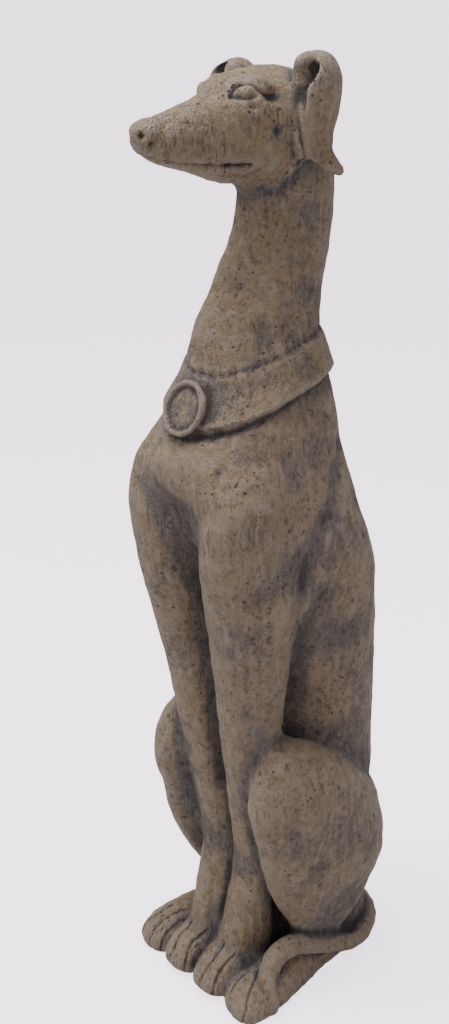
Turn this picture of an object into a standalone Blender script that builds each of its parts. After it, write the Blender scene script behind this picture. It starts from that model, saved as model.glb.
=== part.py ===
"""Greyhound statue: a hound sitting upright, cast as one piece of stone.

Metres, +Z up. The hound faces -Y, its left side is +X, and the origin is in the middle of its
underside. Tapering tubes are skinned over stations and fused into one skin, their hollows are
rounded like clay, and the carving is then pressed and raised with strokes that follow the body.
"""

import math

import bmesh
import bpy
import numpy as np
from mathutils import Vector

# Driving dimensions, in metres
HEIGHT = 0.759
COLLAR_WIDTH = 0.029
COLLAR_RELIEF = 0.006
RING_DIAMETER = 0.043
RING_THICKNESS = 0.0056
TAIL_THICKNESS = 0.0175
TOE_GROOVE_WIDTH = 0.0045
TOE_GROOVE_DEPTH = 0.007

# The figure's grid is a 759th of its height, and all stations and strokes are in its units
GRID_LINES = 759
GRID = HEIGHT / GRID_LINES
SKIN_GRAIN = 3 * GRID
FACET_LIMIT = 10300
BODY_ROUNDING = 46
HAUNCH_ROUNDING = 7
PAW_ROUNDING = 4

# Stations: x, y, z, half width, half depth, squareness (2 is an ellipse)
TRUNK = [
    (0, 34, -14, 57, 54, 2.7),
    (0, 34, 20, 57, 54, 2.7),
    (0, 33, 130, 61, 56, 2.3),
    (0, 31, 206, 62, 56, 2.3),
    (0, 26, 263, 66, 56, 2.3),
    (0, 17, 320, 70, 62, 2.3),
    (0, 2, 375, 73, 72, 2.4),
    (0, -18, 414, 73, 73, 2.7),
    (0, -34, 449, 71, 76, 2.7),
    (0, -37.5, 481, 65, 72.5, 2.6),
    (0, -28.5, 511, 57, 59.5, 2.5),
    (0, -25, 541, 47.5, 52, 2.3),
    (0, -26, 563, 41.5, 51.5, 2.2),
    (0, -21, 585, 37.5, 48.5, 2.1),
    (0, -7, 620, 34, 43, 2),
    (0, 0.5, 645, 32, 40, 2),
    (0, 1, 668, 32, 40.5, 2),
    (0, -1, 695, 31, 38, 2),
    (0, -8, 718, 25, 28, 2),
]
SKULL = [
    (0, 18, 718, 18, 18, 2.2),
    (0, 8, 718, 26, 27, 2.2),
    (0, -6, 717, 31, 33, 2.3),
    (0, -24, 715, 33, 35.5, 2.4),
    (0, -44, 708.5, 31.5, 38, 2.6),
    (0, -60, 705, 28, 34, 2.6),
    (0, -75, 704, 23.5, 28, 2.5),
    (0, -92, 704, 19.5, 23, 2.4),
    (0, -108, 703.5, 16.5, 19, 2.3),
    (0, -119, 704, 14, 16, 2.2),
    (0, -127, 705.5, 12.5, 14.5, 2.2),
    (0, -135, 707, 9, 10, 2.2),
]
FORELEG = [
    (40, -54, 500, 12, 16, 2),
    (42, -69, 478, 24, 30, 2),
    (43, -75, 449, 30, 35, 2),
    (41, -74, 414, 32, 36, 2),
    (38, -69, 377, 33, 35, 2),
    (35, -61, 339, 32, 35, 2),
    (31.5, -57, 296, 29.5, 30, 2),
    (27, -53, 245, 25.5, 26, 2),
    (22, -47, 171, 20.5, 19, 2),
    (20.5, -43, 118, 19, 14, 2),
    (20.5, -45, 90, 19.5, 17, 2),
    (20, -48, 60, 19.5, 22, 2),
    (19, -52, 35, 18.5, 27, 2.2),
    (19, -58, 12, 18.5, 32, 2.3),
    (19, -58, -14, 18.5, 32, 2.3),
]
HAUNCH = [
    (58, -44, 245, 5, 8, 2),
    (59, -43, 240, 12, 19, 2),
    (60, -38, 231, 18, 30, 2),
    (61, -33, 218, 23, 44, 2),
    (61, -24, 197, 27, 58, 2),
    (61, -12, 175, 28.5, 66, 2),
    (61, -4, 152, 29, 67, 2),
    (61, 1, 130, 28, 68, 2),
    (60, 8, 100, 25, 64, 2),
    (56, 11, 72, 20, 51, 2.1),
    (53, 14, 50, 17, 40, 2.4),
    (49, 15, 25, 15, 35, 2.3),
    (46, 16, -14, 14, 30, 2.3),
]
FORE_PAW = [
    (19, -40, 20, 14, 24, 2),
    (19, -58, 20, 17, 24, 2),
    (19, -76, 17, 19, 20, 2.3),
    (19, -88, 12, 18.5, 17, 2.3),
    (19, -97, 8, 15, 13, 2.2),
    (19, -101, 5, 8, 6, 2),
]
HIND_FOOT = [
    (38, 70, 8, 14, 20, 2.2),
    (42, 42, 9, 16, 22, 2.2),
    (46, 12, 10, 17, 22, 2.2),
    (51, -18, 11, 18, 21, 2.2),
    (55, -44, 11, 20, 20, 2.2),
    (57.5, -66, 10, 20.5, 19, 2.3),
    (58, -82, 8, 20, 17, 2.3),
    (58, -94, 6, 16.5, 13, 2.2),
    (58, -99, 5, 9, 7, 2),
]
EAR = [
    (24, -4, 736, 9, 10, 2),
    (33, -8, 747, 14, 9, 2),
    (41, -10, 751, 17, 8, 2),
    (47, -10, 743, 17.5, 6.5, 2),
    (48, -10, 728, 16.5, 5.5, 2),
    (45, -10, 711, 14.5, 5, 2),
    (43, -8, 700, 13, 4.5, 2),
    (43, -4, 691, 11.5, 4.2, 2),
    (46, 3, 684, 8, 3.6, 2),
    (50, 9, 679, 4, 2.8, 2),
]
WEB = [
    (0, 8, -14, 46, 66, 2.6),
    (0, 8, 8, 46, 66, 2.6),
    (0, 10, 20, 42, 60, 2.4),
    (0, 12, 27, 32, 48, 2.2),
]
LEG_WEB = [
    (0, -30, -14, 8, 18, 2),
    (0, -30, 110, 8, 14, 2),
    (0, -33, 171, 8, 17, 2),
    (0, -36, 245, 8, 22, 2),
    (0, -40, 296, 8, 25, 2),
    (0, -44, 345, 8, 28, 2),
]
# The tail's centre line, and its thickness as a share of TAIL_THICKNESS
TAIL = [
    (0, 82, 12, 1.5),
    (22, 86, 10, 1.4),
    (41, 79, 9, 1.25),
    (55, 64, 10, 1.1),
    (64, 44, 12, 1.05),
    (68, 18, 22, 1.0),
    (67, -8, 34, 1.0),
    (63, -30, 43, 1.0),
    (60, -49, 41, 1.0),
    (62, -62, 31, 0.98),
    (68, -69, 19, 0.95),
    (73, -70, 9, 0.88),
    (75, -70, 4, 0.7),
    (75.5, -70, 1, 0.35),
]
# The collar climbs from throat to nape
COLLAR_THROAT = (0, -95, 516.5)
COLLAR_CLIMB = 0.485
COLLAR_RUN = (-95, 55)
COLLAR_TOP_SHARE = 0.4
RING_TILT = math.radians(23)
RING_STAND_OUT = 2
TOES = 4
# The collar, the head above the first height, and the paws below the second and before the
# depth after it, keep smaller facets than the rest
FINE_FROM = (640, 48, -30)
FINE_SHARE = 0.5
CARVING_CARE = 0.002
# How strictly a stroke keeps to its path along x, y and z
SIDEWAYS = np.array((0.25, 1, 1))
FORWARD = np.array((1, 0.4, 1))
DOWNWARD = np.array((1, 1, 0.3))


def splined(stations, steps=4):
    """Catmull-Rom rows between the given ones."""
    rows = np.array(stations, float)
    last = len(rows) - 1
    made = []
    for i in range(last):
        before = rows[max(i - 1, 0)]
        here = rows[i]
        ahead = rows[i + 1]
        after = rows[min(i + 2, last)]
        for t in np.arange(steps) / steps:
            bend = (2 * before - 5 * here + 4 * ahead - after) * t**2
            bend += (3 * here - before - 3 * ahead + after) * t**3
            made.append(here + 0.5 * ((ahead - before) * t + bend))
    made.append(rows[-1])
    return np.array(made)


def squared(value, squareness):
    return math.copysign(abs(value) ** (2 / squareness), value)


def bridge(form, loops):
    """Faces between neighbouring loops of vertices, with both ends closed."""
    sides = len(loops[0])
    for lower, upper in zip(loops, loops[1:]):
        for side in range(sides):
            after = (side + 1) % sides
            form.faces.new((lower[side], lower[after], upper[after], upper[side]))
    form.faces.new(loops[0][::-1])
    form.faces.new(loops[-1])


def skin_tube(form, stations, sides=40, level=False, broad=(1, 0, 0), side=1):
    """A closed tube over the stations. A level one keeps its rings flat."""
    rings = splined(stations)
    paths = np.gradient(rings[:, :3], axis=0)
    loops = []
    for ring, path in zip(rings, paths):
        along = Vector((0, 0, math.copysign(1, path[2]))) if level else Vector(path).normalized()
        across = Vector(broad) - Vector(broad).dot(along) * along
        across.normalize()
        deep = along.cross(across)
        loop = []
        for turn in np.arange(sides) * 2 * math.pi / sides:
            point = Vector(ring[:3])
            point += across * ring[3] * squared(math.cos(turn), ring[5])
            point += deep * ring[4] * squared(math.sin(turn), ring[5])
            point.x *= side
            loop.append(form.verts.new(point * GRID))
        loops.append(loop)
    bridge(form, loops)


def skin_pair(form, stations, **options):
    for side in (1, -1):
        skin_tube(form, stations, side=side, **options)


def add_knob(form, centre, radii):
    """A pair of ellipsoids, or one on the middle plane."""
    for side in (1, -1) if centre[0] else (1,):
        for vert in bmesh.ops.create_icosphere(form, subdivisions=4, radius=GRID)["verts"]:
            for axis in range(3):
                vert.co[axis] = vert.co[axis] * radii[axis] + centre[axis] * GRID
            vert.co.x *= side


def add_ring(form, centre, tilt, radius, thickness, backing):
    """The collar's ring, flat against the throat, with a plain disc that backs it."""
    normal = Vector((0, -math.cos(tilt), math.sin(tilt)))
    across = Vector((1, 0, 0))
    upright = normal.cross(across)
    tube = thickness / 2
    profile = [(0, -backing), (radius - tube, -backing)]
    for turn in np.linspace(-0.5, 1, 9) * math.pi:
        profile.append((radius - tube + tube * math.cos(turn), tube * math.sin(turn)))
    profile.append((0, -0.9 * tube))
    loops = []
    for out, rise in profile:
        loop = []
        for turn in np.arange(48) * 2 * math.pi / 48:
            spoke = across * math.cos(turn) + upright * math.sin(turn)
            loop.append(form.verts.new(centre + spoke * max(out, 1e-4) + normal * rise))
        loops.append(loop)
    bridge(form, loops)


def fused(form):
    """One closed skin round everything in the form."""
    bmesh.ops.recalc_face_normals(form, faces=form.faces)
    mesh = bpy.data.meshes.new("forms")
    form.to_mesh(mesh)
    form.free()
    holder = bpy.data.objects.new("forms", mesh)
    bpy.context.scene.collection.objects.link(holder)
    union = holder.modifiers.new("One skin", "REMESH")
    union.mode = "VOXEL"
    union.voxel_size = SKIN_GRAIN
    return evaluated(holder)


def evaluated(holder):
    """The mesh that an object's modifiers make, with the object itself removed."""
    graph = bpy.context.evaluated_depsgraph_get()
    mesh = bpy.data.meshes.new_from_object(holder.evaluated_get(graph))
    bpy.data.objects.remove(holder)
    return mesh


class Skin:
    """A mesh as arrays, in grid units, for smoothing and carving."""

    def __init__(self, mesh):
        self.mesh = mesh
        self.count = len(mesh.vertices)
        points = np.empty(self.count * 3, np.float32)
        mesh.vertices.foreach_get("co", points)
        self.points = points.reshape(-1, 3).astype(float) / GRID
        ends = np.empty(len(mesh.edges) * 2, np.int32)
        mesh.edges.foreach_get("vertices", ends)
        self.ends = ends.reshape(-1, 2)
        self.degree = np.bincount(ends, minlength=self.count)
        mesh.calc_loop_triangles()
        corners = np.empty(len(mesh.loop_triangles) * 3, np.int32)
        mesh.loop_triangles.foreach_get("vertices", corners)
        self.corners = corners.reshape(-1, 3)

    def pull(self):
        """The way from each point to the middle of its neighbours."""
        first, second = self.ends.T
        middle = np.empty_like(self.points)
        for axis in range(3):
            values = self.points[:, axis]
            total = np.bincount(first, values[second], self.count)
            total += np.bincount(second, values[first], self.count)
            middle[:, axis] = total / self.degree
        return middle - self.points

    def normals(self):
        a, b, c = (self.points[self.corners[:, corner]] for corner in range(3))
        faces = np.cross(b - a, c - a)
        summed = np.zeros_like(self.points)
        for corner in range(3):
            for axis in range(3):
                summed[:, axis] += np.bincount(
                    self.corners[:, corner], faces[:, axis], self.count
                )
        return summed / np.maximum(np.linalg.norm(summed, axis=1, keepdims=True), 1e-9)

    def relax(self, times, rate=0.5):
        for _ in range(times):
            self.points += self.pull() * rate

    def round_hollows(self, times, share=1.0):
        """Fills the creases between forms and leaves the ridges, where share is above 0."""
        for _ in range(times):
            pull = self.pull()
            normals = self.normals()
            rise = (pull * normals).sum(axis=1)
            slide = pull - rise[:, None] * normals
            move = np.maximum(rise, 0)[:, None] * normals * 0.6 + slide * 0.3
            self.points += move * share

    def away(self, path, loose):
        """Each point's distance from the line along the path, less strict along a loose axis."""
        points = self.points * loose
        line = path * loose
        nearest = np.full(self.count, 1e9)
        for start, end in zip(line[:-1], line[1:]):
            run = end - start
            share = np.clip((points - start) @ run / (run @ run), 0, 1)
            gap = np.linalg.norm(points - start - share[:, None] * run, axis=1)
            nearest = np.minimum(nearest, gap)
        return nearest

    def stroke(self, path, width, height, loose=SIDEWAYS, pair=True):
        """Raises a rounded ridge along the path, or cuts a groove where height is negative."""
        normals = self.normals()
        for side in (1, -1) if pair else (1,):
            line = splined(path, 6) * (side, 1, 1)
            lift = height * np.exp(-((self.away(line, loose) / width) ** 2))
            self.points += normals * lift[:, None]

    def press(self, centre, radii, depth, pair=True):
        """Pushes a rounded dent in, or a swelling out where depth is negative."""
        normals = self.normals()
        for side in (1, -1) if pair else (1,):
            away = (self.points - np.array(centre) * (side, 1, 1)) / radii
            dent = depth * np.exp(-(away**2).sum(axis=1))
            self.points -= normals * dent[:, None]

    def over_collar(self):
        """How far each point lies above the collar's middle line, across the band."""
        run = self.points[:, 1] - COLLAR_RUN[0]
        fall = 2 * (COLLAR_RUN[1] - COLLAR_RUN[0])
        middle = COLLAR_THROAT[2] + COLLAR_CLIMB * run * (1 - run / fall)
        slope = np.cos(np.arctan(COLLAR_CLIMB * (1 - 2 * run / fall)))
        return (self.points[:, 2] - middle) * slope

    def strap(self, width, relief):
        """Raises the collar, as a band round the neck that stands out most at its lower edge."""
        over = self.over_collar()
        inside = width / 2 - np.abs(over)
        clear = np.linalg.norm(self.points - COLLAR_THROAT, axis=1) - RING_DIAMETER / GRID / 2 - 3
        step = np.clip(np.minimum(inside, clear) / (SKIN_GRAIN / GRID) + 0.5, 0, 1)
        down = np.clip(0.5 - over / width, 0, 1)
        lean = COLLAR_TOP_SHARE + (1 - COLLAR_TOP_SHARE) * down
        self.points += self.normals() * (relief * step * lean)[:, None]

    def stored(self):
        self.mesh.vertices.foreach_set("co", (self.points * GRID).astype(np.float32).ravel())
        self.mesh.update()
        return self.mesh


def more(mesh):
    form = bmesh.new()
    form.from_mesh(mesh)
    return form


def body_skin():
    form = bmesh.new()
    skin_tube(form, TRUNK, sides=48, level=True)
    skin_tube(form, SKULL)
    skin_pair(form, FORELEG, level=True)
    skin_tube(form, LEG_WEB, level=True)
    add_knob(form, (32, -13, 716), (11, 18, 32))
    add_knob(form, (21, -36, 693), (12, 22, 17))
    add_knob(form, (0, -131, 709.5), (9.5, 10, 9))
    skin = Skin(fused(form))
    above_elbow = np.clip((skin.points[:, 2:] - 250) / 90, 0.08, 1)
    skin.round_hollows(BODY_ROUNDING, above_elbow)
    skin.relax(4)
    return skin


def carve_body(skin):
    """Breast, shoulders, elbows, ribs and neck."""
    cleft = [(0, -120, 440), (0, -108, 420), (0, -92, 384), (0, -78, 329)]
    cleft += [(0, -66, 277), (0, -56, 180)]
    skin.stroke(cleft, 6, -6, FORWARD, pair=False)
    skin.press((9, -112, 436), (13, 20, 20), 5)
    shoulder = [(60, 14, 478), (62, -3, 458), (68, -12, 438), (69, -27, 423)]
    shoulder += [(68, -35, 401), (65, -38, 380)]
    skin.stroke(shoulder, 8, -6)
    skin.press((64, -30, 362), (14, 12, 16), -3.5)
    skin.stroke([(70, -44, 408), (70, -62, 398), (64, -80, 385)], 9, -3)
    skin.press((66, -58, 368), (24, 22, 36), -4.5)
    behind_elbow = [(70, -20, 371), (64, -25, 354), (55, -29, 338), (49, -27, 308)]
    behind_elbow += [(44, -27, 270), (45, -31, 235), (40, -32, 190)]
    skin.stroke(behind_elbow, 7, -7)
    skin.press((66, 14, 395), (24, 22, 40), -4)
    skin.press((62, -4, 335), (22, 14, 26), 3)
    skin.stroke([(28, -62, 612), (42, -52, 575), (50, -62, 545)], 10, -2.5)
    skin.stroke([(14, -60, 640), (24, -78, 580), (38, -84, 545)], 8, 2)


def with_haunches(skin):
    form = more(skin.stored())
    skin_pair(form, HAUNCH, level=True)
    skin = Skin(fused(form))
    skin.round_hollows(HAUNCH_ROUNDING)
    return skin


def with_feet(skin):
    form = more(skin.stored())
    skin_tube(form, WEB, level=True)
    skin_pair(form, FORE_PAW)
    skin_pair(form, HIND_FOOT)
    skin = Skin(fused(form))
    skin.round_hollows(PAW_ROUNDING)
    skin.relax(2)
    between = [(0, -92, 384), (0, -78, 329), (0, -66, 277), (0, -58, 180), (0, -54, 118)]
    between += [(0, -62, 60), (0, -84, 32), (0, -96, 10)]
    skin.stroke(between, 3, -5, FORWARD, pair=False)
    return skin


def with_trim(skin):
    """Adds the ears, the tail and the collar's ring."""
    form = more(skin.stored())
    skin_tube(form, EAR, broad=(0, 1, 0))
    low_ear = [(x + 5, y, z - 4, *rest) for x, y, z, *rest in EAR]
    skin_tube(form, low_ear, broad=(0, 1, 0), side=-1)
    add_knob(form, (40, -3, 726), (10, 8, 20))
    add_knob(form, (35, -17, 741), (8, 8, 12))
    add_knob(form, (38, -17, 712), (8, 12, 26))
    half = TAIL_THICKNESS / GRID / 2
    skin_tube(form, [(x, y, z, half * share, half * share, 2) for x, y, z, share in TAIL])
    seat = (Vector(COLLAR_THROAT) - Vector((0, RING_STAND_OUT, 0))) * GRID
    add_ring(form, seat, RING_TILT, RING_DIAMETER / 2, RING_THICKNESS, RING_DIAMETER / 2)
    skin = Skin(fused(form))
    skin.relax(1)
    skin.strap(COLLAR_WIDTH / GRID, COLLAR_RELIEF / GRID)
    beside = [(x - 5, y, z + 10) for x, y, z, _ in TAIL[3:10]]
    skin.stroke(beside, 2.6, -2.4, pair=False)
    below = [(x + 8, y - 2, z - 11) for x, y, z, _ in TAIL[4:9]]
    skin.stroke(below, 3, -3, pair=False)
    skin.press((61, 40, 35), (9, 10, 11), 11)
    return skin


def carve_head(skin):
    """Brows, eyes, cheeks, lips, nostrils and the openings of the ears."""
    skin.stroke([(19, -72, 731), (24, -58, 726), (29, -44, 723)], 5, -3.2)
    skin.stroke([(18, -70, 734), (23, -60, 738), (27, -50, 736)], 3, -3.6)
    skin.press((25, -58, 732), (10, 5.5, 4), -4.2)
    skin.stroke([(15, -70, 740), (22, -58, 744), (28, -45, 741), (31, -34, 732)], 4, 3.2)
    skin.press((30, -38, 729), (9, 5, 5), 4.5)
    lips = [(9, -126, 693), (14, -104, 689), (19, -78, 686), (25, -57, 686)]
    skin.stroke(lips, 2.6, -3.8)
    skin.press((6.5, -132, 707), (3.2, 5, 3.2), 4)
    skin.press((47, -25, 747), (5, 9, 9), 9)
    skin.stroke([(44, -25, 732), (45, -26, 712), (44, -22, 698), (37, -16, 684)], 2.6, -3)
    skin.stroke([(28, -52, 672), (28, -34, 668), (28, -18, 676), (30, -10, 690)], 7, -3)


def carve_toes(skin):
    width = TOE_GROOVE_WIDTH / GRID
    depth = TOE_GROOVE_DEPTH / GRID
    for middle, reach, splay in ((19, 17, 0.0), (58, 18, 0.12)):
        for toe in range(1, TOES):
            across = (toe / TOES - 0.5) * 2 * reach
            path = []
            for y, z, spread in ((-70, 34, 0.6), (-86, 27, 0.85), (-96, 17, 0.95), (-103, 4, 1.0)):
                path.append((middle + across * spread - splay * (y + 101), y, z))
            skin.stroke(path, width, -depth, DOWNWARD)


def finished(skin):
    """The skin with fewer facets, cut off flat where it stands."""
    mesh = skin.stored()
    holder = bpy.data.objects.new("facets", mesh)
    bpy.context.scene.collection.objects.link(holder)
    head_bottom, paw_top, paw_back = FINE_FROM
    forward, high = skin.points[:, 1:].T
    fine = (high > head_bottom) | ((high < paw_top) & (forward < paw_back))
    fine |= np.abs(skin.over_collar()) < COLLAR_WIDTH / GRID
    plain = holder.vertex_groups.new(name="Plain")
    plain.add(np.flatnonzero(fine).tolist(), FINE_SHARE, "REPLACE")
    plain.add(np.flatnonzero(~fine).tolist(), 1, "REPLACE")
    fewer = holder.modifiers.new("Facets", "DECIMATE")
    fewer.ratio = FACET_LIMIT / (2 * len(mesh.polygons))
    fewer.vertex_group = plain.name
    fewer.vertex_group_factor = CARVING_CARE
    form = more(evaluated(holder))
    for vert in form.verts:
        if abs(vert.co.z) < SKIN_GRAIN / 3:
            vert.co.z = 0
    every = form.verts[:] + form.edges[:] + form.faces[:]
    bmesh.ops.bisect_plane(
        form, geom=every, dist=1e-6, plane_co=(0, 0, 0), plane_no=(0, 0, -1), clear_outer=True
    )
    rim = [edge for edge in form.edges if edge.is_boundary]
    bmesh.ops.triangle_fill(form, edges=rim, use_beauty=True, use_dissolve=False)
    bmesh.ops.triangulate(form, faces=form.faces)
    bmesh.ops.recalc_face_normals(form, faces=form.faces)
    form.to_mesh(mesh)
    form.free()
    return mesh


def cast_stone():
    material = bpy.data.materials.new("Cast stone")
    material.use_nodes = True
    shader = material.node_tree.nodes["Principled BSDF"]
    shader.inputs["Base Color"].default_value = (0.14, 0.105, 0.075, 1)
    shader.inputs["Roughness"].default_value = 0.85
    shader.inputs["Metallic"].default_value = 0
    return material


def main():
    for old in list(bpy.data.objects):
        bpy.data.objects.remove(old)
    skin = body_skin()
    carve_body(skin)
    skin = with_trim(with_feet(with_haunches(skin)))
    carve_head(skin)
    carve_toes(skin)
    mesh = finished(skin)
    mesh.name = "greyhound"
    mesh.materials.clear()
    mesh.materials.append(cast_stone())
    mesh.shade_smooth()
    greyhound = bpy.data.objects.new("greyhound", mesh)
    bpy.context.scene.collection.objects.link(greyhound)


main()
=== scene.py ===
import math

import bmesh
import bpy
import numpy as np
from mathutils import Matrix, Vector, kdtree, noise


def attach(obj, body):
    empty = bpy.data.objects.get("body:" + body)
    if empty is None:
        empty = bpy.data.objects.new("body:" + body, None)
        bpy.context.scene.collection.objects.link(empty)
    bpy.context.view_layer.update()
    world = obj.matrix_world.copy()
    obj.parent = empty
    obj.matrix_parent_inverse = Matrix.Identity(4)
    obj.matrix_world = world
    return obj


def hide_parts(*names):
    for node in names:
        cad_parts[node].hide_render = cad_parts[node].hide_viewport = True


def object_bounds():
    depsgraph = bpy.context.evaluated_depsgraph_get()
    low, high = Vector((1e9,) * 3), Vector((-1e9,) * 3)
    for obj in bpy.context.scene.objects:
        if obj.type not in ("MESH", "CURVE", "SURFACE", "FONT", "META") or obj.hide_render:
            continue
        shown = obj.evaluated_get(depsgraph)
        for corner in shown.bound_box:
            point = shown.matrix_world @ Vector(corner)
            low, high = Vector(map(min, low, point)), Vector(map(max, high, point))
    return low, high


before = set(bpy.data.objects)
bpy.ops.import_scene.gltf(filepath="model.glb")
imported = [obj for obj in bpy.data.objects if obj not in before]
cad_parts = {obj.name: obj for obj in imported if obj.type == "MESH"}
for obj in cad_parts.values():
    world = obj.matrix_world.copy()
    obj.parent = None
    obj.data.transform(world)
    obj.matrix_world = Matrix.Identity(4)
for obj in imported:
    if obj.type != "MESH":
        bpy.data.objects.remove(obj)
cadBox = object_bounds()
print("frame loaded")

# The hound. All lengths are in millimetres, in the CAD's own frame.
greyhound = {
    "roughGrain": 3.0,        # voxel of the first, rough clay
    "fineGrain": 1.5,         # voxel of the finished clay
    "mostTriangles": 192000,
    "bodyRounding": 46,       # how often the hollows between forms are filled
    "elbow": (250, 90, 0.08), # below this height, over this span, the hollows keep their depth
    "haunchRounding": 7,
    "pawRounding": 4,
    "lumpHeight": 0.9,        # the uneven hand-worked surface
    "lumpSize": 26,
    "dimpleHeight": 0.5,
    "dimpleSize": 8,
    "toolMarkHeight": 0.46,
    "toolMarkSize": 4.5,
    "nicks": 700,
    "nickRadius": (1.1, 2.8),
    "nickDepth": 1.0,
}
collar = {
    "width": 29,
    "relief": 6,
    "topShare": 0.28,         # the upper edge stands out less than the lower one
    "climb": 0.485,
    "run": (-95, 55),
    "throat": (0, -95, 516.5),
    "edge": 1.6,
    "lipDepth": 1.5,
    "underLip": (1.2, 1.5),   # how far past the edge the line runs, and its width
    "overLip": (0.8, 1.1),
    "overShare": 1.2,         # the upper line's depth as a share of the lower one's
    "ringClear": 1.5,         # how far the band runs in under the ring's rim
}
ring = {"diameter": 43, "thickness": 5.0, "tilt": 23, "standOut": 2, "backing": 12, "sides": 64}
tail = {"thickness": 17.5}
paw = {"grooveWidth": 0.85, "grooveDepth": 1.7}

# Stations: x, y, z, half width, half depth, squareness (2 is an ellipse)
trunkStations = [
    (0, 34, -14, 57, 54, 2.7),
    (0, 34, 20, 57, 54, 2.7),
    (0, 33, 130, 61, 56, 2.3),
    (0, 31, 206, 62, 56, 2.3),
    (0, 26, 263, 66, 56, 2.3),
    (0, 17, 320, 70, 62, 2.3),
    (0, 2, 375, 73, 72, 2.4),
    (0, -18, 414, 73, 73, 2.7),
    (0, -34, 449, 71, 76, 2.7),
    (0, -37.5, 481, 65, 72.5, 2.6),
    (0, -28.5, 511, 57, 59.5, 2.5),
    (0, -25, 541, 47.5, 52, 2.3),
    (0, -26, 563, 41.5, 51.5, 2.2),
    (0, -21, 585, 37.5, 48.5, 2.1),
    (0, -7, 620, 34, 43, 2),
    (0, 0.5, 645, 32, 40, 2),
    (0, 1, 668, 32, 40.5, 2),
    (0, -1, 695, 31, 38, 2),
    (0, -8, 718, 25, 28, 2),
]
skullStations = [
    (0, 18, 718, 18, 18, 2.2),
    (0, 8, 718, 26, 27, 2.2),
    (0, -6, 717, 31, 33, 2.3),
    (0, -24, 715, 33, 35.5, 2.4),
    (0, -44, 708.5, 31.5, 38, 2.6),
    (0, -60, 705, 28, 34, 2.6),
    (0, -75, 704, 23.5, 28, 2.5),
    (0, -92, 704, 19.5, 23, 2.4),
    (0, -108, 703.5, 16.5, 19, 2.3),
    (0, -119, 704, 14, 16, 2.2),
    (0, -127, 705.5, 12.5, 14.5, 2.2),
    (0, -135, 707, 9, 10, 2.2),
]
forelegStations = [
    (40, -54, 500, 12, 16, 2),
    (42, -69, 478, 24, 30, 2),
    (43, -75, 449, 30, 35, 2),
    (41, -74, 414, 32, 36, 2),
    (38, -69, 377, 33, 35, 2),
    (35, -61, 339, 32, 35, 2),
    (31.5, -57, 296, 29.5, 30, 2),
    (27, -53, 245, 25.5, 26, 2),
    (22, -47, 171, 20.5, 19, 2),
    (20.5, -43, 118, 19, 14, 2),
    (20.5, -45, 90, 19.5, 17, 2),
    (20, -48, 60, 19.5, 22, 2),
    (19, -52, 35, 18.5, 27, 2.2),
    (19, -58, 12, 18.5, 32, 2.3),
    (19, -58, -14, 18.5, 32, 2.3),
]
haunchStations = [
    (58, -44, 245, 5, 8, 2),
    (59, -43, 240, 12, 19, 2),
    (60, -38, 231, 18, 30, 2),
    (61, -33, 218, 23, 44, 2),
    (61, -24, 197, 27, 58, 2),
    (61, -12, 175, 28.5, 66, 2),
    (61, -4, 152, 29, 67, 2),
    (61, 1, 130, 28, 68, 2),
    (60, 8, 100, 25, 64, 2),
    (56, 11, 72, 20, 51, 2.1),
    (53, 14, 50, 17, 40, 2.4),
    (49, 15, 25, 15, 35, 2.3),
    (46, 16, -14, 14, 30, 2.3),
]
forePawStations = [
    (19, -40, 20, 14, 24, 2),
    (19, -58, 20, 17, 24, 2),
    (19, -76, 17, 19, 20, 2.3),
    (19, -88, 12, 18.5, 17, 2.3),
    (19, -97, 8, 15, 13, 2.2),
    (19, -101, 5, 8, 6, 2),
]
hindFootStations = [
    (38, 70, 8, 14, 20, 2.2),
    (42, 42, 9, 16, 22, 2.2),
    (46, 12, 10, 17, 22, 2.2),
    (51, -18, 11, 18, 21, 2.2),
    (55, -44, 11, 20, 20, 2.2),
    (57.5, -66, 10, 20.5, 19, 2.3),
    (58, -82, 8, 20, 17, 2.3),
    (58, -94, 6, 16.5, 13, 2.2),
    (58, -99, 5, 9, 7, 2),
]
earStations = [
    (24, -4, 736, 9, 10, 2),
    (33, -8, 747, 14, 9, 2),
    (41, -10, 751, 17, 8, 2),
    (47, -10, 743, 17.5, 6.5, 2),
    (48, -10, 728, 16.5, 5.5, 2),
    (45, -10, 711, 14.5, 5, 2),
    (43, -8, 700, 13, 4.5, 2),
    (43, -4, 691, 11.5, 4.2, 2),
    (46, 3, 684, 8, 3.6, 2),
    (50, 9, 679, 4, 2.8, 2),
]
footWebStations = [
    (0, 8, -14, 46, 66, 2.6),
    (0, 8, 8, 46, 66, 2.6),
    (0, 10, 20, 42, 60, 2.4),
    (0, 12, 27, 32, 48, 2.2),
]
legWebStations = [
    (0, -30, -14, 8, 18, 2),
    (0, -30, 110, 8, 14, 2),
    (0, -33, 171, 8, 17, 2),
    (0, -36, 245, 8, 22, 2),
    (0, -40, 296, 8, 25, 2),
    (0, -44, 345, 8, 28, 2),
]
tailPath = [                  # x, y, z and the share of the tail's thickness
    (0, 82, 12, 1.5),
    (22, 86, 10, 1.4),
    (41, 79, 9, 1.25),
    (55, 64, 10, 1.1),
    (64, 44, 12, 1.05),
    (68, 18, 22, 1.0),
    (67, -8, 34, 1.0),
    (63, -30, 43, 1.0),
    (60, -49, 41, 1.0),
    (62, -62, 31, 0.98),
    (68, -69, 19, 0.95),
    (73, -70, 9, 0.88),
    (75, -70, 4, 0.7),
    (75.5, -70, 1, 0.35),
]
# How strictly a stroke keeps to its path along x, y and z
sideways = np.array((0.25, 1, 1))
forward = np.array((1, 0.4, 1))
anyway = np.array((1, 1, 1))


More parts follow.
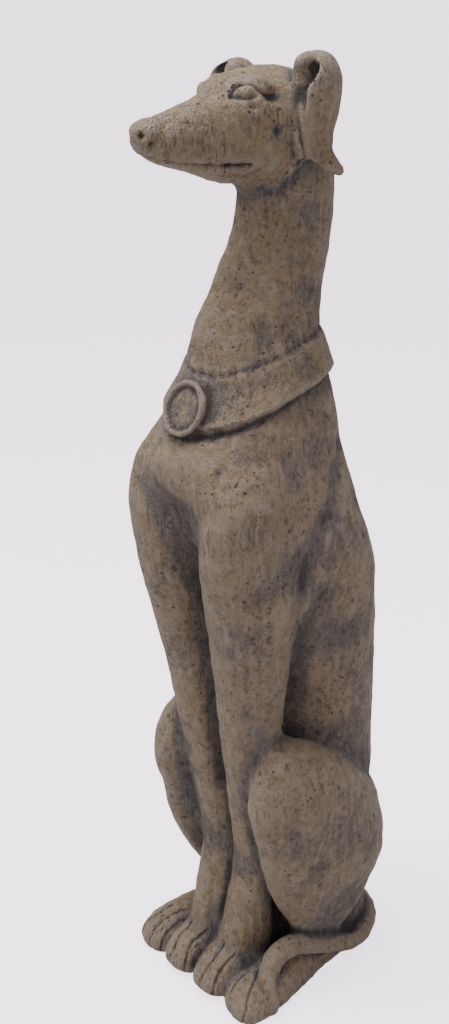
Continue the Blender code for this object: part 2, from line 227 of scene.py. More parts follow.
def splined(stations, steps=4):
    rows = np.array(stations, float)
    last = len(rows) - 1
    made = []
    for i in range(last):
        before, here = rows[max(i - 1, 0)], rows[i]
        ahead, after = rows[i + 1], rows[min(i + 2, last)]
        for t in np.arange(steps) / steps:
            bend = (2 * before - 5 * here + 4 * ahead - after) * t**2
            bend += (3 * here - before - 3 * ahead + after) * t**3
            made.append(here + 0.5 * ((ahead - before) * t + bend))
    made.append(rows[-1])
    return np.array(made)


def squared(value, squareness):
    return math.copysign(abs(value) ** (2 / squareness), value)


def strip(form, loops):       # faces between each loop and the next
    sides = len(loops[0])
    for lower, upper in zip(loops, loops[1:]):
        for side in range(sides):
            after = (side + 1) % sides
            form.faces.new((lower[side], lower[after], upper[after], upper[side]))


def bridge(form, loops):
    strip(form, loops)
    form.faces.new(loops[0][::-1])
    form.faces.new(loops[-1])


def skinTube(form, stations, sides=40, level=False, broad=(1, 0, 0), side=1):
    rings = splined(stations)
    paths = np.gradient(rings[:, :3], axis=0)
    loops = []
    for row, path in zip(rings, paths):
        along = Vector((0, 0, math.copysign(1, path[2]))) if level else Vector(path).normalized()
        across = (Vector(broad) - Vector(broad).dot(along) * along).normalized()
        deep = along.cross(across)
        loop = []
        for turn in np.arange(sides) * 2 * math.pi / sides:
            point = Vector(row[:3])
            point += across * row[3] * squared(math.cos(turn), row[5])
            point += deep * row[4] * squared(math.sin(turn), row[5])
            point.x *= side
            loop.append(form.verts.new(point))
        loops.append(loop)
    bridge(form, loops)


def skinPair(form, stations, **options):
    for side in (1, -1):
        skinTube(form, stations, side=side, **options)


def addKnob(form, centre, radii):
    for side in (1, -1) if centre[0] else (1,):
        for vert in bmesh.ops.create_icosphere(form, subdivisions=4, radius=1)["verts"]:
            point = Vector([vert.co[axis] * radii[axis] for axis in range(3)])
            vert.co = point + Vector((centre[0] * side, centre[1], centre[2]))


def addRing(form, centre, tilt, radius, thickness, backing):
    normal = Vector((0, -math.cos(tilt), math.sin(tilt)))
    across = Vector((1, 0, 0))
    sides = ring["sides"]
    upright = normal.cross(across)
    tube = thickness / 2
    profile = [(0, -backing), (radius - tube, -backing)]     # the stem, the rim, then a shallow dome
    for turn in np.linspace(-0.5, 1.1, 13) * math.pi:
        profile.append((radius - tube + tube * math.cos(turn), tube * math.sin(turn)))
    profile += [(radius - 2.3 * tube, -0.5 * tube), (0.6 * radius, 0), (0, 0.2 * tube)]
    loops = []
    for out, rise in profile:
        loop = []
        for turn in np.arange(sides) * 2 * math.pi / sides:
            spoke = across * math.cos(turn) + upright * math.sin(turn)
            loop.append(form.verts.new(centre + spoke * max(out, 0.1) + normal * rise))
        loops.append(loop)
    bridge(form, loops)


def evaluated(holder):
    graph = bpy.context.evaluated_depsgraph_get()
    mesh = bpy.data.meshes.new_from_object(holder.evaluated_get(graph))
    bpy.data.objects.remove(holder)
    return mesh


def held(mesh):
    holder = bpy.data.objects.new("clay", mesh)
    bpy.context.scene.collection.objects.link(holder)
    return holder


def fused(form, grain):       # one closed skin round everything in the form
    bmesh.ops.recalc_face_normals(form, faces=form.faces)
    mesh = bpy.data.meshes.new("clay")
    form.to_mesh(mesh)
    form.free()
    holder = held(mesh)
    union = holder.modifiers.new("One skin", "REMESH")
    union.mode = "VOXEL"
    union.voxel_size = grain
    return evaluated(holder)


class Clay:                   # a mesh as arrays, for smoothing and carving
    def __init__(self, mesh):
        self.mesh = mesh
        self.count = len(mesh.vertices)
        points = np.empty(self.count * 3, np.float32)
        mesh.vertices.foreach_get("co", points)
        self.points = points.reshape(-1, 3).astype(float)
        ends = np.empty(len(mesh.edges) * 2, np.int32)
        mesh.edges.foreach_get("vertices", ends)
        self.ends = ends.reshape(-1, 2)
        self.degree = np.bincount(ends, minlength=self.count)
        mesh.calc_loop_triangles()
        corners = np.empty(len(mesh.loop_triangles) * 3, np.int32)
        mesh.loop_triangles.foreach_get("vertices", corners)
        self.corners = corners.reshape(-1, 3)

    def middle(self, values):     # each point's mean over its neighbours
        first, second = self.ends.T
        total = np.bincount(first, values[second], self.count)
        total += np.bincount(second, values[first], self.count)
        return total / self.degree

    def pull(self):
        return np.stack([self.middle(self.points[:, axis]) for axis in range(3)], 1) - self.points

    def normals(self):
        a, b, c = (self.points[self.corners[:, corner]] for corner in range(3))
        faces = np.cross(b - a, c - a)
        summed = np.zeros_like(self.points)
        for corner in range(3):
            for axis in range(3):
                summed[:, axis] += np.bincount(self.corners[:, corner], faces[:, axis], self.count)
        return summed / np.maximum(np.linalg.norm(summed, axis=1, keepdims=True), 1e-9)

    def relax(self, times, rate=0.5):
        for _ in range(times):
            self.points += self.pull() * rate

    def roundHollows(self, times, share=1.0):   # fills creases and leaves the ridges
        for _ in range(times):
            pull = self.pull()
            normals = self.normals()
            rise = (pull * normals).sum(axis=1)
            slide = pull - rise[:, None] * normals
            move = np.maximum(rise, 0)[:, None] * normals * 0.6 + slide * 0.3
            self.points += move * share

    def away(self, path, loose):
        points = self.points * loose
        line = path * loose
        nearest = np.full(self.count, 1e9)
        for start, end in zip(line[:-1], line[1:]):
            run = end - start
            share = np.clip((points - start) @ run / max(run @ run, 1e-9), 0, 1)
            gap = np.linalg.norm(points - start - share[:, None] * run, axis=1)
            nearest = np.minimum(nearest, gap)
        return nearest

    def stroke(self, path, width, height, loose=sideways, pair=True):
        normals = self.normals()
        for side in (1, -1) if pair else (1,):
            line = splined(path, 6) * (side, 1, 1)
            lift = height * np.exp(-((self.away(line, loose) / width) ** 2))
            self.points += normals * lift[:, None]

    def scratch(self, path, width, height):     # a stroke laid on the skin, on one side only
        line = []
        for point in splined(path, 6):
            line.append(self.points[np.argmin(((self.points - point) ** 2).sum(axis=1))])
        lift = height * np.exp(-((self.away(np.array(line), anyway) / width) ** 2))
        self.points += self.normals() * lift[:, None]

    def dig(self, centre, radii, way):          # moves the clay the given way, round the centre
        for side in (1, -1):
            away = (self.points - np.array(centre) * (side, 1, 1)) / radii
            share = np.exp(-(away**2).sum(axis=1))
            self.points += share[:, None] * np.array(way) * (side, 1, 1)

    def press(self, centre, radii, depth, pair=True):
        normals = self.normals()
        for side in (1, -1) if pair else (1,):
            away = (self.points - np.array(centre) * (side, 1, 1)) / radii
            dent = depth * np.exp(-(away**2).sum(axis=1))
            self.points -= normals * dent[:, None]

    def overCollar(self):     # how far above the collar's middle line, across the band
        start, crest = collar["run"]
        run = self.points[:, 1] - start
        fall = 2 * (crest - start)
        middle = collar["throat"][2] + collar["climb"] * run * (1 - run / fall)
        slope = np.cos(np.arctan(collar["climb"] * (1 - 2 * run / fall)))
        return (self.points[:, 2] - middle) * slope

    def stored(self):
        self.mesh.vertices.foreach_set("co", self.points.astype(np.float32).ravel())
        self.mesh.update()
        return self.mesh


def more(mesh):
    form = bmesh.new()
    form.from_mesh(mesh)
    return form


def bodyClay():
    form = bmesh.new()
    skinTube(form, trunkStations, sides=48, level=True)
    skinTube(form, skullStations)
    skinPair(form, forelegStations, level=True)
    skinTube(form, legWebStations, level=True)
    addKnob(form, (32, -13, 716), (11, 18, 32))      # cheeks
    addKnob(form, (21, -36, 693), (12, 22, 17))      # jaws
    addKnob(form, (0, -131, 709.5), (9.5, 10, 9))    # nose
    clay = Clay(fused(form, greyhound["roughGrain"]))
    height, span, least = greyhound["elbow"]
    aboveElbow = np.clip((clay.points[:, 2:] - height) / span, least, 1)
    clay.roundHollows(greyhound["bodyRounding"], aboveElbow)
    clay.relax(4)
    return clay


def carveBody(clay):
    cleft = [(0, -120, 440), (0, -108, 420), (0, -92, 384), (0, -78, 329)]
    cleft += [(0, -66, 277), (0, -56, 180)]
    clay.stroke(cleft, 6, -6, forward, pair=False)
    clay.press((9, -112, 436), (13, 20, 20), 5)       # beside the breastbone
    shoulder = [(60, 14, 478), (62, -3, 458), (68, -12, 438), (69, -27, 423)]
    shoulder += [(68, -35, 401), (65, -38, 380)]
    clay.stroke(shoulder, 8, -6)
    clay.press((64, -30, 362), (14, 12, 16), -3.5)    # point of the elbow
    underShoulder = [(70, -44, 408), (70, -62, 398), (64, -80, 385)]
    clay.stroke(underShoulder, 9, -3)
    clay.press((66, -58, 368), (24, 22, 36), -4.5)    # upper arm
    behindElbow = [(70, -20, 371), (64, -25, 354), (55, -29, 338), (49, -27, 308)]
    behindElbow += [(44, -27, 270), (45, -31, 235), (40, -32, 190)]
    clay.stroke(behindElbow, 7, -7)
    clay.press((66, 14, 395), (24, 22, 40), -4)       # ribs
    clay.press((62, -4, 335), (22, 14, 26), 3)        # behind the elbow
    besideThroat = [(28, -62, 612), (42, -52, 575), (50, -62, 545)]
    clay.stroke(besideThroat, 10, -1.3)
    overCollar = [(0, -80, 542), (24, -74, 544), (38, -62, 548), (46, -40, 556)]
    clay.stroke(overCollar, 9, 2.2)
    throatMuscle = [(14, -60, 640), (24, -78, 580), (38, -84, 545)]
    clay.stroke(throatMuscle, 8, 2)


def withLegs(clay):
    form = more(clay.stored())
    skinPair(form, haunchStations, level=True)
    clay = Clay(fused(form, greyhound["roughGrain"]))
    clay.roundHollows(greyhound["haunchRounding"])
    form = more(clay.stored())
    skinTube(form, footWebStations, level=True)
    skinPair(form, forePawStations)
    skinPair(form, hindFootStations)
    clay = Clay(fused(form, greyhound["roughGrain"]))
    clay.roundHollows(greyhound["pawRounding"])
    clay.relax(2)
    return clay


def finer(clay):              # the same clay in a finer skin, without the rough one's steps
    fine = Clay(fused(more(clay.stored()), greyhound["fineGrain"]))
    fine.relax(6)
    return fine


def raiseCollar(clay):
    over = clay.overCollar()
    width = collar["width"]
    inside = width / 2 - np.abs(over)
    toRing = np.linalg.norm(clay.points - collar["throat"], axis=1)
    clear = toRing - ring["diameter"] / 2 + collar["ringClear"]
    step = np.clip(np.minimum(inside, clear) / collar["edge"] + 0.5, 0, 1)
    down = np.clip(0.5 - over / width, 0, 1)
    lean = collar["topShare"] + (1 - collar["topShare"]) * down
    lift = collar["relief"] * step * lean
    off = np.clip(clear / 4, 0, 1)
    past, spread = collar["underLip"]
    lift -= collar["lipDepth"] * off * np.exp(-(((over + width / 2 + past) / spread) ** 2))
    past, spread = collar["overLip"]
    upper = collar["overShare"] * collar["lipDepth"]
    lift -= upper * off * np.exp(-(((over - width / 2 - past) / spread) ** 2))
    clay.points += clay.normals() * lift[:, None]


def withTrim(clay):
    raiseCollar(clay)
    form = more(clay.stored())
    skinTube(form, earStations, broad=(0, 1, 0))
    # the right ear hangs a little wider and lower
    lowEar = [(x + 5, y, z - 4, *rest) for x, y, z, *rest in earStations]
    skinTube(form, lowEar, broad=(0, 1, 0), side=-1)
    addKnob(form, (40, -3, 726), (10, 8, 20))      # roots of the ears
    addKnob(form, (35, -17, 741), (8, 8, 12))      # rounded fronts of the ears
    addKnob(form, (38, -17, 712), (8, 12, 26))     # where the flaps meet the cheeks
    half = tail["thickness"] / 2
    skinTube(form, [(x, y, z, half * share, half * share, 2) for x, y, z, share in tailPath])
    seat = Vector(collar["throat"]) - Vector((0, ring["standOut"], 0))
    tilt, radius = math.radians(ring["tilt"]), ring["diameter"] / 2
    addRing(form, seat, tilt, radius, ring["thickness"], ring["backing"])
    clay = Clay(fused(form, greyhound["fineGrain"]))
    clay.relax(1)
    return clay


def carveTail(clay):
    overTail = [(x - 5, y, z + 9.5) for x, y, z, _ in tailPath[3:9]]
    clay.stroke(overTail, 1.2, -1.6, anyway, pair=False)
    underTail = [(x + 6, y - 2, z - 8.5) for x, y, z, _ in tailPath[5:10]]
    clay.stroke(underTail, 1.4, -2.2, anyway, pair=False)
    # the hole between the tail and the hock
    clay.press((60, 39, 34), (9, 10, 10), 11, pair=False)
    clay.press((60, 36, 32), (5, 6, 6), 5, pair=False)


def carveEyes(clay):
    clay.press((20, -60, 731), (7, 9, 5), 2.6)                # sockets
    clay.press((29, -41, 730), (5, 6, 4), 4.2)                # hollows behind the eyes
    clay.press((22.5, -59.5, 732), (5.0, 4.6, 4.0), -4.0)     # eyeballs
    upperLid = [(16, -67, 730), (17, -62, 736), (20, -55, 737), (25, -48, 732.5), (30, -40, 729)]
    clay.stroke(upperLid, 1.1, -2.2)
    lidFold = [(15, -64, 739), (18, -56, 742), (23, -47, 741.5), (29, -38, 737)]
    clay.stroke(lidFold, 1.9, 1.9)
    underEye = [(16, -67, 729.5), (22, -61, 728.2), (27, -53, 729.5)]
    clay.stroke(underEye, 0.9, -0.9)
    lowerLid = [(18, -66, 726.5), (24.5, -60, 726), (28.5, -51, 727.5)]
    clay.stroke(lowerLid, 1.7, 1.3)
    clay.press((24, -56, 738), (8, 10, 6), -2.0)              # brows
    farBrow = [(-31, -38, 738), (-28, -48, 740), (-24, -57, 739), (-21, -66, 734)]
    clay.stroke(farBrow, 7, 3.2, anyway, pair=False)
    clay.press((27, -56, 720), (6, 9, 4.5), -1.6)             # below the eyes


def carveMuzzle(clay):
    clay.press((33, -36, 716), (5, 8, 10), -1.4)              # cheekbones
    clay.press((33, -39, 708), (5, 3, 4), 1.8)
    lips = [(0, -132, 695), (7, -119, 690.5), (13, -99, 687.5), (17, -80, 686.5), (18, -72, 686.5)]
    clay.stroke(lips, 1.1, -1.2)
    mouthCorner = [(17, -73, 686.5), (19, -65, 686), (22.5, -56, 686)]
    clay.stroke(mouthCorner, 1.3, -3.8)
    lowerLip = [(14, -84, 682.8), (19, -68, 682.3), (23, -55, 682.3)]
    clay.stroke(lowerLip, 1.8, 1.4)
    clay.press((6.5, -136, 707), (1.7, 4, 1.7), 3.2)          # nostrils
    nosePad = [(0, -120, 723), (7, -120, 719), (11, -121, 711), (10, -126, 704), (7, -131, 701)]
    clay.stroke(nosePad, 1.8, -1.2)


def carveEars(clay):
    clay.dig((46, -26, 747), (4.5, 11, 8.5), (1, 11, -2))     # openings
    clay.press((46, -20, 747), (4.5, 9, 8), 4)
    besideFlap = [(44, -27, 732), (44, -28, 712), (43, -24, 698), (37, -18, 684)]
    clay.stroke(besideFlap, 1.2, -2.4)
    underJaw = [(28, -52, 668), (28, -34, 665), (28, -18, 674), (30, -10, 690)]
    clay.stroke(underJaw, 6, -2.5)


# Toe grooves: the two feet on the hound's right, then the two on its left
toeGrooves = [
    [(-62, -66, 25), (-64, -82, 19), (-66, -92, 12), (-67, -95, 3)],
    [(-53, -64, 22), (-55, -81, 18), (-55, -91, 12), (-55, -94, 2)],
    [(-45, -72, 20), (-47, -86, 14), (-47, -93, 4)],
    [(-20, -69, 34), (-22, -86, 26), (-20, -94, 18), (-20, -98, 5)],
    [(-8, -71, 36), (-11, -86, 26), (-9, -94, 19), (-8, -98, 6)],
    [(11, -80, 30), (8, -92, 21), (8, -98, 8)],
    [(20, -70, 37), (20, -82, 29), (20, -95, 19), (20, -100, 5)],
    [(29, -72, 34), (29, -87, 26), (31, -95, 18), (31, -99, 5)],
    [(48, -62, 26), (47, -79, 20), (53, -92, 11), (53, -95, 1)],
    [(56, -66, 23), (61, -81, 18), (67, -93, 8), (67, -95, 1)],
]
# Cracks in the forelegs, and the strokes of a stiff brush across the collar
cracks = [
    [(-36, -87, 291), (-21, -85, 293), (-12, -80, 298)],
    [(-14, -71, 221), (-9, -67, 217), (-5, -61, 220)],
]
brushedCollar = ((20, -89, 532), (38, -78, 537), (31, -101, 506), (48, -86, 511), 12)
brushedBuckle = ((47, -26, 549), (44, -6, 556), (54, -22, 534), (49, 0, 541), 8)
marks = {"crackWidth": 0.7, "crackDepth": 0.7, "bristleWidth": 0.7, "bristleHeight": 0.45}


def carvePaws(clay):
    for groove in toeGrooves:
        clay.scratch(groove, paw["grooveWidth"], -paw["grooveDepth"])


def carveMarks(clay):
    for crack in cracks:
        clay.scratch(crack, marks["crackWidth"], -marks["crackDepth"])
    clay.press((40, -24, 729), (4, 4, 5), 1.8, pair=False)    # a chip before the left ear
    for highStart, highEnd, lowStart, lowEnd, count in (brushedCollar, brushedBuckle):
        for share in np.linspace(0, 1, count):
            high = np.array(highStart) * (1 - share) + np.array(highEnd) * share
            low = np.array(lowStart) * (1 - share) + np.array(lowEnd) * share
            clay.scratch([high, low], marks["bristleWidth"], marks["bristleHeight"])


def roughen(clay):            # lumps, tool marks and nicks left by hand
    lift = np.zeros(clay.count)
    shapes = ((greyhound["lumpHeight"], (1, 1, 1), greyhound["lumpSize"]),
              (greyhound["dimpleHeight"], (1, 1, 0.8), greyhound["dimpleSize"]),
              (greyhound["toolMarkHeight"], (1, 1, 0.2), greyhound["toolMarkSize"]))
    for height, stretch, size in shapes:
        places = clay.points * stretch / size
        lift += height * np.array([noise.noise(place) for place in places])
    clay.points += clay.normals() * lift[:, None]
    seeded = np.random.default_rng(7)
    tree = kdtree.KDTree(clay.count)
    for index, point in enumerate(clay.points):
        tree.insert(point, index)
    tree.balance()
    normals = clay.normals()
    for chosen in seeded.integers(0, clay.count, greyhound["nicks"]):
        radius = seeded.uniform(*greyhound["nickRadius"])
        depth = greyhound["nickDepth"] * seeded.uniform(0.3, 1)
        for _, index, gap in tree.find_range(clay.points[chosen], radius * 1.6):
            clay.points[index] -= normals[index] * depth * math.exp(-((gap / radius) ** 2) * 2)


def thinned(clay):            # fewer triangles, and cut off flat where it stands
    holder = held(clay.stored())
    fewer = holder.modifiers.new("Fewer", "DECIMATE")
    fewer.ratio = greyhound["mostTriangles"] / (2 * len(clay.mesh.polygons))
    form = more(evaluated(holder))
    every = form.verts[:] + form.edges[:] + form.faces[:]
    underside = {"plane_co": (0, 0, 0), "plane_no": (0, 0, -1)}
    bmesh.ops.bisect_plane(form, geom=every, dist=1e-4, clear_outer=True, **underside)
    rim = [edge for edge in form.edges if edge.is_boundary]
    bmesh.ops.triangle_fill(form, edges=rim, use_beauty=True, use_dissolve=False)
    bmesh.ops.triangulate(form, faces=form.faces)
    bmesh.ops.recalc_face_normals(form, faces=form.faces)
    mesh = bpy.data.meshes.new("greyhoundStone")
    form.to_mesh(mesh)
    form.free()
    return mesh


def fitted(clay):             # keeps the stone inside the CAD's own box
    for axis in range(3):
        values = clay.points[:, axis]
        least, most = values.min(), values.max()
        low, high = max(cadBox[0][axis] * 1000, least), min(cadBox[1][axis] * 1000, most)
        clay.points[:, axis] = np.interp(values, (least, 0, most), (low, 0, high))


def noteHollows(clay):        # masks for the finish: hollows, which carry the painted shade, and raised places, fine and broad
    start = clay.points.copy()
    normals = clay.normals()
    for name, times, reach in (("fineHollow", 4, 0.35), ("broadHollow", 60, 2.4)):
        clay.points = start.copy()
        clay.relax(times)
        depth = ((clay.points - start) * normals).sum(axis=1) / reach
        for _ in range(2):
            depth = 0.5 * depth + 0.5 * clay.middle(depth)
        mask = clay.mesh.attributes.new(name, "FLOAT", "POINT")
        mask.data.foreach_set("value", np.clip(depth, -1, 1).astype(np.float32))
    clay.points = start


rough = bodyClay()
carveBody(rough)
rough = withLegs(rough)
print("rough clay")
fine = finer(rough)
between = [(0, -92, 384), (0, -78, 329), (0, -66, 277), (0, -58, 180), (0, -54, 118)]
between += [(0, -62, 60), (0, -84, 32), (0, -96, 10)]
fine.stroke(between, 2.2, -5, forward, pair=False)
fine = withTrim(fine)
print("fine clay", fine.count)
carveTail(fine)
carveEyes(fine)
carveMuzzle(fine)
carveEars(fine)
carvePaws(fine)
carveMarks(fine)
roughen(fine)
print("carved")
stone = Clay(thinned(fine))
fitted(stone)
noteHollows(stone)
stone.points *= 0.001         # to metres
stoneMesh = stone.stored()
stoneMesh.shade_smooth()
hound = bpy.data.objects.new("greyhoundStone", stoneMesh)
bpy.context.scene.collection.objects.link(hound)
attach(hound, "root")
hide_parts("greyhound")
print("stone", len(stoneMesh.polygons), "triangles")

stoneLook = {
    "taupe": (0.132, 0.103, 0.082, 1),
    "ochre": (0.240, 0.160, 0.074, 1),
    "grey": (0.150, 0.131, 0.120, 1),
    "shade": (0.042, 0.034, 0.034, 1),
    "dust": (0.30, 0.262, 0.226, 1),
    "patchSize": 0.045,
    "cloudScale": 13.0,
    "mottleScale": 240.0,
    "grainScale": 620.0,
    "darkStreak": (0.0013, 0.017),      # width and length
    "paleStreak": (0.0017, 0.011),
    "pitSpacing": 0.0048,
    "pitAmount": 0.52,
    "dusted": (0.44, 0.62, 0.6),        # where the grey starts and is full, and how much it covers
    "wearAndHighlight": (0.42, 0.82, 0.78),         # the same for the ochre
    "raisedShare": -0.6,                # how much a high place adds to the wear
    "heightWearAndHighlight": (0.52, 0.70, 0.20),      # heights between which the ochre grows, partly wear and partly a painted highlight on the head and upper neck, and how much
    "relief": 0.0042,
    "reliefStrength": 0.9,
    "gloss": (0.80, 0.52),              # roughness of plain stone and of the worn and highlighted ochre places
    "specular": 0.5,
}
# Layers of color, first to last: where the mask starts and where it is full, then how much
# it covers and with which color
stoneLayers = {
    "pale": (0.52, 0.70, 0.36, "dust"),
    "dim": (0.50, 0.34, 0.62, "shade"),
    "speck": (0.44, 0.32, 0.45, "shade"),
    "stain": (0.46, 0.30, 0.16, "shade"),
    # deep: painted shade darkening the broad hollows
    "deep": (0.08, 1.0, 0.5, "shade"),
    # crease: painted shade darkening the fine creases
    "crease": (0.10, 0.7, 0.9, "shade"),
    "edge": (-0.10, -0.6, 0.35, "dust"),
}
# Marks on top: pale and dark streaks, and the pinholes darkened with painted shade
stoneMarks = {"paleLine": (0.30, "dust"), "darkLine": (0.38, "shade"), "pit": (0.85, "shade")}
# How much each part adds to the fine relief
stoneRelief = {"mottle": 0.9, "pit": -1.0, "darkLine": -0.45, "ripple": 0.35, "grain": 0.45}


class Nodes:                  # places and joins nodes in a tree
    def __init__(self, tree):
        self.tree = tree

    def add(self, kind, inputs=None, **settings):
        node = self.tree.nodes.new(kind)
        for name, value in settings.items():
            setattr(node, name, value)
        for name, value in (inputs or {}).items():
            self.feed(node.inputs[name], value)
        return node

    def feed(self, socket, value):
        if isinstance(value, bpy.types.NodeSocket):
            self.tree.links.new(value, socket)
        else:
            socket.default_value = value

    def noise(self, place, scale, detail, **settings):
        given = {"Vector": place, "Scale": scale, "Detail": detail, **settings}
        return self.add("ShaderNodeTexNoise", given).outputs[0]

    def math(self, operation, *values):
        node = self.add("ShaderNodeMath", operation=operation)
        for socket, value in zip(node.inputs, values):
            self.feed(socket, value)
        return node.outputs[0]

    def ramp(self, value, low, high, toLow=0.0, toHigh=1.0):
        node = self.add("ShaderNodeMapRange", interpolation_type="SMOOTHSTEP")
        names = ("Value", "From Min", "From Max", "To Min", "To Max")
        for name, given in zip(names, (value, low, high, toLow, toHigh)):
            self.feed(node.inputs[name], given)
        return node.outputs["Result"]

    def mix(self, share, first, second):
        node = self.add("ShaderNodeMix", data_type="RGBA")
        for name, given in (("Factor", share), ("A", first), ("B", second)):
            fitting = [socket for socket in node.inputs if socket.name == name and socket.enabled]
            self.feed(fitting[0], given)
        return [socket for socket in node.outputs if socket.enabled][0]


def newGroup(name, inputs, outputs):
    group = bpy.data.node_groups.new(name, "ShaderNodeTree")
    for label, kind, value in inputs:
        socket = group.interface.new_socket(label, in_out="INPUT", socket_type=kind)
        socket.default_value = value
    for label, kind in outputs:
        group.interface.new_socket(label, in_out="OUTPUT", socket_type=kind)
    nodes = Nodes(group)
    return group, nodes, nodes.add("NodeGroupInput"), nodes.add("NodeGroupOutput")


def streakGroup():            # fine lines that run up and down
    group, nodes, given, made = newGroup(
        "brush streaks",
        [("Place", "NodeSocketVector", (0, 0, 0)), ("Width", "NodeSocketFloat", 0.0016),
         ("Length", "NodeSocketFloat", 0.016), ("Shift", "NodeSocketFloat", 0.0)],
        [("Line", "NodeSocketFloat"), ("Ripple", "NodeSocketFloat")],
    )
    split = nodes.add("ShaderNodeSeparateXYZ", {0: given.outputs["Place"]})
    x = nodes.math("DIVIDE", split.outputs[0], given.outputs["Width"])
    y = nodes.math("DIVIDE", split.outputs[1], given.outputs["Width"])
    z = nodes.math("DIVIDE", split.outputs[2], given.outputs["Length"])
    x = nodes.math("ADD", x, given.outputs["Shift"])
    stretched = nodes.add("ShaderNodeCombineXYZ", {0: x, 1: y, 2: z})
    lines = nodes.noise(stretched.outputs[0], 1.0, 2.0, Roughness=0.55, Distortion=0.5)
    broken = nodes.noise(given.outputs["Place"], 38.0, 2.0)
    line = nodes.ramp(lines, 0.57, 0.68)
    line = nodes.math("MULTIPLY", line, nodes.ramp(broken, 0.38, 0.58))
    nodes.feed(made.inputs["Line"], line)
    nodes.feed(made.inputs["Ripple"], lines)
    return group


def pitGroup():               # pinholes, in loose clusters
    group, nodes, given, made = newGroup(
        "pinholes",
        [("Place", "NodeSocketVector", (0, 0, 0)), ("Spacing", "NodeSocketFloat", 0.005),
         ("Amount", "NodeSocketFloat", 0.5)],
        [("Pit", "NodeSocketFloat")],
    )
    near = nodes.math("DIVIDE", 1.0, given.outputs["Spacing"])
    place = given.outputs["Place"]
    cells = nodes.add("ShaderNodeTexVoronoi", {"Vector": place, "Scale": near, "Randomness": 1.0})
    kept = nodes.noise(place, 42.0, 3.0)
    lively = nodes.add("ShaderNodeSeparateColor", {0: cells.outputs["Color"]})
    size = nodes.math("MULTIPLY", lively.outputs[0], 0.34)
    least = nodes.math("SUBTRACT", 0.9, given.outputs["Amount"])
    size = nodes.math("MULTIPLY", size, nodes.ramp(kept, least, nodes.math("ADD", least, 0.2)))
    pit = nodes.ramp(cells.outputs["Distance"], size, nodes.math("MULTIPLY", size, 0.5))
    nodes.feed(made.inputs["Pit"], pit)
    return group


def grouped(nodes, group, inputs):
    made = nodes.add("ShaderNodeGroup", node_tree=group)
    for name, value in inputs.items():
        nodes.feed(made.inputs[name], value)
    return made.outputs


def castStone(look):
    material = bpy.data.materials.new("Cast stone, weathered")
    material.use_nodes = True
    nodes = Nodes(material.node_tree)
    shader = material.node_tree.nodes["Principled BSDF"]
    place = nodes.add("ShaderNodeTexCoord").outputs["Object"]
    masks = {}
    for name in ("fineHollow", "broadHollow"):
        masks[name] = nodes.add("ShaderNodeAttribute", attribute_name=name).outputs["Fac"]
    lines = streakGroup()
    for name, size, shift in (("dark", look["darkStreak"], 0.0), ("pale", look["paleStreak"], 37.0)):
        given = {"Place": place, "Width": size[0], "Length": size[1], "Shift": shift}
        streak = grouped(nodes, lines, given)
        masks[name + "Line"] = streak["Line"]
    masks["ripple"] = streak["Ripple"]
    given = {"Place": place, "Spacing": look["pitSpacing"], "Amount": look["pitAmount"]}
    masks["pit"] = grouped(nodes, pitGroup(), given)["Pit"]
    patches = nodes.noise(place, 1 / look["patchSize"], 5.0, Roughness=0.62)
    clouds = nodes.noise(place, look["cloudScale"], 4.0, Roughness=0.6)
    masks["mottle"] = nodes.noise(place, look["mottleScale"], 4.0, Roughness=0.72)
    masks["grain"] = nodes.noise(place, look["grainScale"], 3.0, Roughness=0.75)
    low, high, most = look["dusted"]
    dusted = nodes.math("MULTIPLY", nodes.ramp(clouds, low, high), most)
    color = nodes.mix(dusted, look["taupe"], look["grey"])
    # ochre on the high places, in patches: wear, with a painted highlight added towards the top by
    # height
    raised = nodes.math("MULTIPLY", masks["broadHollow"], look["raisedShare"])
    split = nodes.add("ShaderNodeSeparateXYZ", {0: place})
    low, high, most = look["heightWearAndHighlight"]
    # painted highlight: the head and upper neck made lighter by height alone
    heightWearAndHighlight = nodes.ramp(split.outputs[2], low, high, 0.0, most)
    wearAndHighlight = nodes.math("ADD", nodes.math("ADD", raised, patches), heightWearAndHighlight)
    low, high, most = look["wearAndHighlight"]
    wearAndHighlight = nodes.ramp(wearAndHighlight, low, high)
    color = nodes.mix(nodes.math("MULTIPLY", wearAndHighlight, most), color, look["ochre"])
    sources = {
        "pale": masks["mottle"],
        "dim": masks["mottle"],
        "speck": masks["grain"],
        "stain": patches,
        # painted shade in the broad hollows
        "deep": masks["broadHollow"],
        # painted shade in the fine creases
        "crease": masks["fineHollow"],
        "edge": masks["fineHollow"],
    }
    for name, (start, full, share, tone) in stoneLayers.items():
        mask = nodes.ramp(sources[name], start, full)
        color = nodes.mix(nodes.math("MULTIPLY", mask, share), color, look[tone])
    for name, (share, tone) in stoneMarks.items():
        color = nodes.mix(nodes.math("MULTIPLY", masks[name], share), color, look[tone])
    nodes.feed(shader.inputs["Base Color"], color)
    nodes.feed(shader.inputs["Roughness"], nodes.ramp(wearAndHighlight, 0.0, 1.0, *look["gloss"]))
    shader.inputs["Specular IOR Level"].default_value = look["specular"]
    height = 0.0
    for name, share in stoneRelief.items():
        height = nodes.math("MULTIPLY_ADD", masks[name], share, height)
    given = {"Strength": look["reliefStrength"], "Distance": look["relief"], "Height": height}
    bump = nodes.add("ShaderNodeBump", given)
    nodes.feed(shader.inputs["Normal"], bump.outputs[0])
    return material


stoneMesh.materials.append(castStone(stoneLook))
print("stone finish")

floor = {
    "flat": 2.8,
    "rise": 2.6,
    "bend": 1.8,
    "sides": 96,
    "color": (0.68, 0.67, 0.69, 1),
    "paleColor": (0.71, 0.69, 0.715, 1),
    "roughness": 0.9,
    "glow": 2.3,
    "glowColor": (0.96, 0.85, 1.0, 1),
}


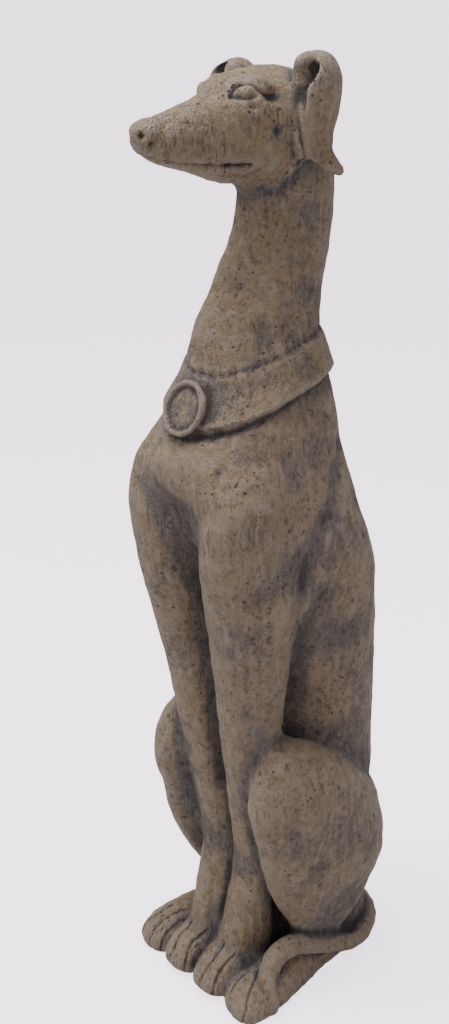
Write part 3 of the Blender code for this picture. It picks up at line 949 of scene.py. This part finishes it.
def sweptFloor():             # a round floor whose rim curves up out of sight
    form = bmesh.new()
    profile = [(0.02, 0), (floor["flat"] * 0.5, 0), (floor["flat"], 0)]
    for turn in np.linspace(0, 0.5, 9)[1:] * math.pi:
        out, up = floor["bend"] * math.sin(turn), floor["bend"] * (1 - math.cos(turn))
        profile.append((floor["flat"] + out, up))
    profile.append((floor["flat"] + floor["bend"], floor["bend"] + floor["rise"]))
    loops = []
    turns = np.arange(floor["sides"]) * 2 * math.pi / floor["sides"]
    for out, up in profile:
        places = [(out * math.cos(turn), out * math.sin(turn), up) for turn in turns]
        loops.append([form.verts.new(place) for place in places])
    strip(form, loops)
    form.faces.new(loops[0])
    bmesh.ops.recalc_face_normals(form, faces=form.faces)
    mesh = bpy.data.meshes.new("floor")
    form.to_mesh(mesh)
    form.free()
    mesh.shade_smooth()
    material = bpy.data.materials.new("Pale floor")
    material.use_nodes = True
    nodes = Nodes(material.node_tree)
    shader = material.node_tree.nodes["Principled BSDF"]
    place = nodes.add("ShaderNodeTexCoord").outputs["Object"]
    cloud = nodes.ramp(nodes.noise(place, 3.0, 2.0), 0.3, 0.7)
    nodes.feed(shader.inputs["Base Color"], nodes.mix(cloud, floor["color"], floor["paleColor"]))
    shader.inputs["Roughness"].default_value = floor["roughness"]
    # a lit backdrop: it looks bright, yet throws little light back on the stone
    seen = nodes.add("ShaderNodeLightPath").outputs["Is Camera Ray"]
    glow = nodes.math("MULTIPLY", seen, floor["glow"])
    shader.inputs["Emission Color"].default_value = floor["glowColor"]
    nodes.feed(shader.inputs["Emission Strength"], glow)
    mesh.materials.append(material)
    made = bpy.data.objects.new("floor", mesh)
    bpy.context.scene.collection.objects.link(made)


sweptFloor()

studio = {
    "lights": {                         # place, size and power
        "key": ((-0.9, -1.3, 1.9), 0.8, 25),
        "fill": ((1.9, -0.4, 1.4), 1.2, 11),
        "top": ((-0.25, -0.3, 2.3), 1.0, 52),
    },
    "aim": (0, 0, 0.4),
    "sky": (0.88, 0.86, 0.90, 1),
    "skyStrength": 0.70,
}


def softLight(name, place, size, power):
    lamp = bpy.data.lights.new(name, "AREA")
    lamp.size = size
    lamp.energy = power
    holder = bpy.data.objects.new(name, lamp)
    holder.location = place
    toward = Vector(studio["aim"]) - Vector(place)
    holder.rotation_euler = toward.to_track_quat("-Z", "Y").to_euler()
    bpy.context.scene.collection.objects.link(holder)


for name, (place, size, power) in studio["lights"].items():
    softLight(name, place, size, power)
world = bpy.data.worlds.new("studio")
world.use_nodes = True
sky = world.node_tree.nodes["Background"]
sky.inputs[0].default_value = studio["sky"]
sky.inputs[1].default_value = studio["skyStrength"]
bpy.context.scene.world = world

camera = {
    "place": (0.662, -0.635, 0.755),
    "azimuth": 48.9,
    "down": 20.5,
    "sensor": 36,
    "reach": 1220 / 1024,               # focal length in picture heights
}


def addCamera():
    data = bpy.data.cameras.new("camera")
    data.lens = camera["reach"] * camera["sensor"]
    data.sensor_width = camera["sensor"]
    holder = bpy.data.objects.new("camera", data)
    azimuth, down = math.radians(camera["azimuth"]), math.radians(camera["down"])
    right = Vector((math.cos(azimuth), math.sin(azimuth), 0))
    level = Vector((-math.sin(azimuth), math.cos(azimuth), 0)) * math.cos(down)
    ahead = level - Vector((0, 0, math.sin(down)))
    turned = Matrix((right, right.cross(ahead), -ahead)).transposed().to_4x4()
    holder.matrix_world = Matrix.Translation(camera["place"]) @ turned
    bpy.context.scene.collection.objects.link(holder)
    bpy.context.scene.camera = holder


addCamera()
print("studio set")
